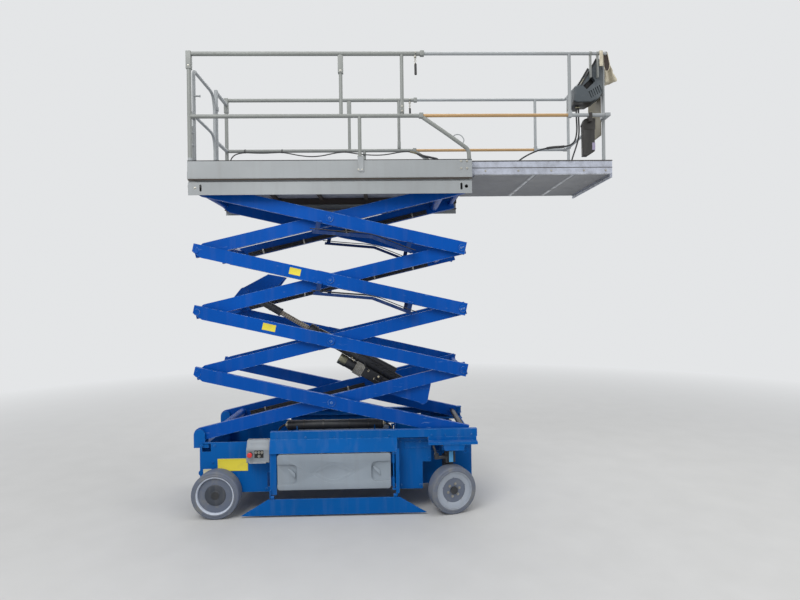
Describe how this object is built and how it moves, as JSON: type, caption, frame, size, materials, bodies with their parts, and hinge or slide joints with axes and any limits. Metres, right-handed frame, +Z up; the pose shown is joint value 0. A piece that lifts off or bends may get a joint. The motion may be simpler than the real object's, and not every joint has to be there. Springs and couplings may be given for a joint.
{
  "type": "electric scissor lift",
  "caption": "Self-propelled scissor lift: steered wheeled chassis, folding arm stack raised by a hydraulic cylinder, and a guard-railed platform with a roll-out deck.",
  "frame": {"origin": "on the floor, under the middle of the lift's overall length and width", "axes": "+X towards the steered front end and the roll-out deck, +Y to the lift's left, +Z up"},
  "size_m": [3.9085, 1.2752, 4.1369],
  "materials": {
    "frame_blue": "worn satin paint",
    "arm_blue": "worn satin paint",
    "platform_grey": "worn satin paint",
    "cover_grey": "moulded",
    "rubber_grey": "non-marking",
    "rim_paint": "satin",
    "black_steel": "satin",
    "bright_steel": "ground",
    "deck_metal": "tread plate",
    "box_grey": "satin",
    "block_grey": "satin",
    "black_plastic": "moulded",
    "cable_black": "matt",
    "canvas": "woven"
  },
  "bodies": {
    "chassis": {"chassis_rear": "frame_blue", "chassis_bay": "frame_blue", "chassis_nose": "frame_blue", "channel_webs": "frame_blue", "channel_tracks": "frame_blue", "channel_caps": "frame_blue", "rear_axle": "black_steel", "front_axle": "frame_blue", "oil_vessel": "black_steel", "ground_control_box": "box_grey"},
    "platform": {"platform_frame": "platform_grey", "platform_deck": "deck_metal", "side_rail_left": "platform_grey", "side_rail_right": "platform_grey", "toe_board_left": "platform_grey", "toe_board_right": "platform_grey", "rear_rail": "platform_grey", "rail_cable": "cable_black"},
    "extension": {"extension_deck": "deck_metal", "extension_rails": "platform_grey", "platform_control_box": "box_grey", "manual_box": "black_plastic", "tool_pouch": "canvas", "console_cable": "cable_black", "deck_cable": "cable_black"},
    "gate": {"entry_gate": "platform_grey"},
    "cylinder_barrel": {"lift_barrel": "black_steel", "valve_block": "black_steel"},
    "cylinder_rod": {"lift_rod": "bright_steel"},
    "tie_rod_body": {"tie_rod": "black_steel"},
    "inner_pair_1": {"inner_arms_1": "arm_blue"},
    "outer_pair_1": {"outer_arms_1": "arm_blue", "roller_shaft": "black_steel"},
    "inner_pair_2": {"inner_arms_2": "arm_blue"},
    "outer_pair_2": {"outer_arms_2": "arm_blue"},
    "inner_pair_3": {"inner_arms_3": "arm_blue"},
    "outer_pair_3": {"outer_arms_3": "arm_blue"},
    "inner_pair_4": {"inner_arms_4": "arm_blue"},
    "outer_pair_4": {"outer_arms_4": "arm_blue"},
    "knuckle_left_body": {"knuckle_left": "black_steel"},
    "wheel_front_left": {"tyre_front_left": "rubber_grey", "rim_front_left": "rim_paint"},
    "wheel_rear_left": {"tyre_rear_left": "rubber_grey", "rim_rear_left": "rim_paint"},
    "guard_left": {"pothole_guard_left": "frame_blue"},
    "module_left": {"module_tray_left": "frame_blue", "module_cover_left": "cover_grey", "battery_block": "block_grey"},
    "knuckle_right_body": {"knuckle_right": "black_steel"},
    "wheel_front_right": {"tyre_front_right": "rubber_grey", "rim_front_right": "rim_paint"},
    "wheel_rear_right": {"tyre_rear_right": "rubber_grey", "rim_rear_right": "rim_paint"},
    "guard_right": {"pothole_guard_right": "frame_blue"},
    "module_right": {"module_tray_right": "frame_blue", "module_cover_right": "cover_grey", "hydraulic_block": "block_grey"}
  },
  "joints": [
    {"name": "lift", "type": "hinge", "parent": "chassis", "child": "inner_pair_1", "pos_m": [-1.901, 0, 0.716], "axis": [0, -1, 0], "range_deg": [-10, 33.4]},
    {"name": "outer_fold_1", "type": "hinge", "parent": "inner_pair_1", "child": "outer_pair_1", "pos_m": [-0.69884, 0, 0.9945], "axis": [0, -1, 0], "range_deg": [-66.8, 20]},
    {"name": "inner_fold_2", "type": "hinge", "parent": "outer_pair_1", "child": "inner_pair_2", "pos_m": [-1.901, 0, 1.273], "axis": [0, -1, 0], "range_deg": [-20, 66.8]},
    {"name": "outer_fold_2", "type": "hinge", "parent": "inner_pair_2", "child": "outer_pair_2", "pos_m": [-0.69884, 0, 1.5515], "axis": [0, -1, 0], "range_deg": [-66.8, 20]},
    {"name": "inner_fold_3", "type": "hinge", "parent": "outer_pair_2", "child": "inner_pair_3", "pos_m": [-1.901, 0, 1.83], "axis": [0, -1, 0], "range_deg": [-20, 66.8]},
    {"name": "outer_fold_3", "type": "hinge", "parent": "inner_pair_3", "child": "outer_pair_3", "pos_m": [-0.69884, 0, 2.1085], "axis": [0, -1, 0], "range_deg": [-66.8, 20]},
    {"name": "inner_fold_4", "type": "hinge", "parent": "outer_pair_3", "child": "inner_pair_4", "pos_m": [-1.901, 0, 2.387], "axis": [0, -1, 0], "range_deg": [-20, 66.8]},
    {"name": "outer_fold_4", "type": "hinge", "parent": "inner_pair_4", "child": "outer_pair_4", "pos_m": [-0.69884, 0, 2.6655], "axis": [0, -1, 0], "range_deg": [-66.8, 20]},
    {"name": "platform_level", "type": "hinge", "parent": "outer_pair_4", "child": "platform", "pos_m": [-1.901, 0, 2.944], "axis": [0, -1, 0], "range_deg": [-10, 33.4]},
    {"name": "cylinder_swing", "type": "hinge", "parent": "inner_pair_1", "child": "cylinder_barrel", "pos_m": [0.135, 0, 0.994], "axis": [0, -1, 0], "range_deg": [-70.14, 21]},
    {"name": "cylinder_stroke", "type": "slide", "parent": "cylinder_barrel", "child": "cylinder_rod", "axis": [-0.8599, 0, 0.5105], "range_m": [-0.265, 0.8851]},
    {"name": "extension_slide", "type": "slide", "parent": "platform", "child": "extension", "axis": [1, 0, 0], "range_m": [-1.27, 0]},
    {"name": "gate_swing", "type": "hinge", "parent": "platform", "child": "gate", "pos_m": [-1.913, 0.2, 3.6], "axis": [0, 0, 1], "range_deg": [0, 90]},
    {"name": "steering_left", "type": "hinge", "parent": "chassis", "child": "knuckle_left_body", "pos_m": [0.365, -0.4765, 0.6], "axis": [0, 0, 1], "range_deg": [-57, 23]},
    {"name": "wheel_front_left_spin", "type": "hinge", "parent": "knuckle_left_body", "child": "wheel_front_left", "pos_m": [0.37816, -0.51953, 0.21], "axis": [-0.2924, 0.9563, 0], "continuous": true},
    {"name": "wheel_rear_left_spin", "type": "hinge", "parent": "chassis", "child": "wheel_rear_left", "pos_m": [-1.725, -0.5215, 0.21], "axis": [0, 1, 0], "continuous": true},
    {"name": "guard_left_fold", "type": "hinge", "parent": "chassis", "child": "guard_left", "pos_m": [-0.68, -0.555, 0.178], "axis": [1, 0, 0], "range_deg": [0, 90]},
    {"name": "module_left_swing", "type": "hinge", "parent": "chassis", "child": "module_left", "pos_m": [-0.145, -0.548, 0.39], "axis": [0, 0, 1], "range_deg": [0, 90]},
    {"name": "steering_right", "type": "hinge", "parent": "chassis", "child": "knuckle_right_body", "pos_m": [0.365, 0.4765, 0.6], "axis": [0, 0, 1], "range_deg": [-57, 23]},
    {"name": "wheel_front_right_spin", "type": "hinge", "parent": "knuckle_right_body", "child": "wheel_front_right", "pos_m": [0.35184, 0.51953, 0.21], "axis": [-0.2924, 0.9563, 0], "continuous": true},
    {"name": "wheel_rear_right_spin", "type": "hinge", "parent": "chassis", "child": "wheel_rear_right", "pos_m": [-1.725, 0.5215, 0.21], "axis": [0, 1, 0], "continuous": true},
    {"name": "guard_right_fold", "type": "hinge", "parent": "chassis", "child": "guard_right", "pos_m": [-0.68, 0.555, 0.178], "axis": [-1, 0, 0], "range_deg": [0, 90]},
    {"name": "module_right_swing", "type": "hinge", "parent": "chassis", "child": "module_right", "pos_m": [-0.145, 0.548, 0.39], "axis": [0, 0, -1], "range_deg": [0, 90]},
    {"name": "tie_rod_turn", "type": "hinge", "parent": "knuckle_left_body", "child": "tie_rod_body", "pos_m": [0.24068, -0.51451, 0.513], "axis": [0, 0, 1], "range_deg": [-23, 57]}
  ],
  "couplings": [
    {"joint": "outer_fold_1", "follows": "lift", "ratio": -2},
    {"joint": "inner_fold_2", "follows": "lift", "ratio": 2},
    {"joint": "outer_fold_2", "follows": "lift", "ratio": -2},
    {"joint": "inner_fold_3", "follows": "lift", "ratio": 2},
    {"joint": "outer_fold_3", "follows": "lift", "ratio": -2},
    {"joint": "inner_fold_4", "follows": "lift", "ratio": 2},
    {"joint": "outer_fold_4", "follows": "lift", "ratio": -2},
    {"joint": "platform_level", "follows": "lift", "ratio": 1},
    {"joint": "cylinder_swing", "follows": "lift", "ratio": -2.1},
    {"joint": "cylinder_stroke", "follows": "lift", "m_per_rad": 1.5183},
    {"joint": "steering_right", "follows": "steering_left", "ratio": 1},
    {"joint": "tie_rod_turn", "follows": "steering_left", "ratio": -1}
  ]
}
